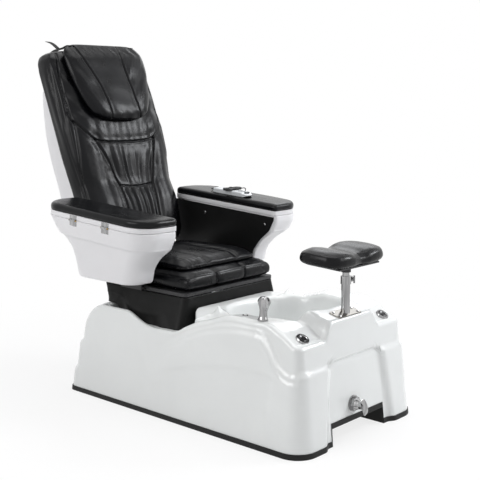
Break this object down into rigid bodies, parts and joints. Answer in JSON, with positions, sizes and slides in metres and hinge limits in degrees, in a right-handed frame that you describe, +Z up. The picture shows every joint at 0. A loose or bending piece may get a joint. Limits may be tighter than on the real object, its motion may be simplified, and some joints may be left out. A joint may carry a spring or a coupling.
{
  "type": "pedicure spa chair",
  "caption": "Foot spa chair: a moulded foot basin with a padded footrest, and above it a reclining padded seat with lidded armrests and a corded hand control.",
  "frame": {"origin": "on the floor, below the middle of the whole length and on the plane of symmetry", "axes": "+Z up, the sitter faces -Y, +X is the sitter's left"},
  "size_m": [0.943, 1.5711, 1.4184],
  "materials": {
    "shell_white": "polished moulded acrylic",
    "trim_rubber": "matt",
    "kick_black": "matt",
    "frame_steel": "powder coated",
    "rail_steel": "brushed",
    "pipe_grey": "plain",
    "chrome": "polished",
    "plate_brushed": "polished",
    "knob_dark": "gloss",
    "button_white": "gloss",
    "pin_brass": "plain",
    "seat_leather": "soft black leather",
    "skirt_cloth": "coated cloth",
    "control_grey": "satin",
    "key_grey": "matt",
    "cord_black": "matt"
  },
  "bodies": {
    "tub": {"tub_shell": "shell_white", "base_trim": "trim_rubber", "toe_kick_liner": "kick_black", "inner_frame": "frame_steel", "levelling_feet": "trim_rubber", "drain_strainer": "chrome", "drain_pipe": "pipe_grey", "tap_body": "chrome", "air_bezel_right": "chrome", "air_bezel_left": "chrome", "push_bezel": "chrome", "mixer_body": "chrome", "footrest_plate": "plate_brushed", "plate_screws": "chrome", "footrest_tube": "chrome", "clamp_ring": "chrome", "seat_skirt": "skirt_cloth", "seat_stand": "frame_steel"},
    "tap_turn": {"tap_lever": "chrome"},
    "air_right": {"air_knob_right": "knob_dark"},
    "air_left": {"air_knob_left": "knob_dark"},
    "push": {"push_button": "button_white"},
    "mixer_turn": {"mixer_handle": "chrome"},
    "clamp_turn": {"clamp_screw": "chrome"},
    "foot_post": {"slide_tube": "chrome"},
    "footrest": {"pad_bracket": "frame_steel", "foot_pad": "seat_leather"},
    "seat": {"moving_rails": "rail_steel", "seat_pan": "frame_steel", "seat_cushion": "seat_leather", "seat_pad": "seat_leather", "back_brackets": "frame_steel", "recline_pins": "rail_steel", "arm_box_right": "shell_white", "arm_box_left": "shell_white", "side_panels": "kick_black", "panel_screws": "chrome", "arm_brackets": "frame_steel", "hinge_leaves": "chrome", "hinge_pins": "pin_brass"},
    "back": {"back_frame": "frame_steel", "back_shell": "shell_white", "back_cushion": "seat_leather", "head_cushion": "seat_leather", "head_straps": "seat_leather"},
    "lid_r": {"lid_right": "shell_white", "lid_pad_right": "seat_leather", "lid_leaves_right": "chrome"},
    "lid_l": {"lid_left": "shell_white", "lid_pad_left": "seat_leather", "lid_leaves_left": "chrome", "hand_control": "control_grey", "cord_strain_relief": "cord_black", "cord_to_control": "cord_black", "cord_hank": "cord_black", "cord_to_gland": "cord_black", "cord_gland": "cord_black"},
    "key_a": {"key_recline": "key_grey"},
    "key_b": {"key_seat": "key_grey"},
    "key_c": {"key_massage": "key_grey"}
  },
  "joints": [
    {"name": "tap_lever_turn", "type": "hinge", "parent": "tub", "child": "tap_turn", "pos_m": [-0.022, -0.78165, 0.121], "axis": [0, 1, 0], "range_deg": [0, 90]},
    {"name": "air_right_turn", "type": "hinge", "parent": "tub", "child": "air_right", "pos_m": [-0.243, -0.67165, 0.387], "axis": [0, -0.5145, 0.8575], "range_deg": [-140, 140]},
    {"name": "air_left_turn", "type": "hinge", "parent": "tub", "child": "air_left", "pos_m": [0.243, -0.67165, 0.387], "axis": [0, -0.5145, 0.8575], "range_deg": [-140, 140]},
    {"name": "push_travel", "type": "slide", "parent": "tub", "child": "push", "axis": [-0.0995, 0, -0.995], "range_m": [0, 0.003], "stiffness_N_per_m": 300, "springref_m": -0.001},
    {"name": "mixer_turn", "type": "hinge", "parent": "tub", "child": "mixer_turn", "pos_m": [-0.284, -0.53065, 0.4384], "axis": [0.0995, 0, 0.995], "range_deg": [-90, 90]},
    {"name": "clamp_screw_turn", "type": "hinge", "parent": "tub", "child": "clamp_turn", "pos_m": [0.0267, -0.67565, 0.5595], "axis": [0, -1, 0], "range_deg": [-180, 180]},
    {"name": "footrest_rise", "type": "slide", "parent": "tub", "child": "foot_post", "axis": [0, 0, 1], "range_m": [0, 0.09]},
    {"name": "footrest_swivel", "type": "hinge", "parent": "foot_post", "child": "footrest", "pos_m": [0, -0.67565, 0.604], "axis": [0, 0, 1], "range_deg": [-45, 45]},
    {"name": "seat_travel", "type": "slide", "parent": "tub", "child": "seat", "axis": [0, -1, 0], "range_m": [0, 0.09]},
    {"name": "recline", "type": "hinge", "parent": "seat", "child": "back", "pos_m": [0, 0.44435, 0.5], "axis": [-1, 0, 0], "range_deg": [-5, 32]},
    {"name": "lid_right_swing", "type": "hinge", "parent": "seat", "child": "lid_r", "pos_m": [-0.4675, 0.01435, 0.717], "axis": [0, -0.9979, -0.0649], "range_deg": [0, 95]},
    {"name": "lid_left_swing", "type": "hinge", "parent": "seat", "child": "lid_l", "pos_m": [0.4675, 0.01435, 0.717], "axis": [0, 0.9979, 0.0649], "range_deg": [0, 95]},
    {"name": "key_recline_press", "type": "slide", "parent": "lid_l", "child": "key_a", "axis": [0, 0.0649, -0.9979], "range_m": [0, 0.0012], "stiffness_N_per_m": 300, "springref_m": -0.0005},
    {"name": "key_seat_press", "type": "slide", "parent": "lid_l", "child": "key_b", "axis": [0, 0.0649, -0.9979], "range_m": [0, 0.0012], "stiffness_N_per_m": 300, "springref_m": -0.0005},
    {"name": "key_massage_press", "type": "slide", "parent": "lid_l", "child": "key_c", "axis": [0, 0.0649, -0.9979], "range_m": [0, 0.0012], "stiffness_N_per_m": 300, "springref_m": -0.0005}
  ]
}
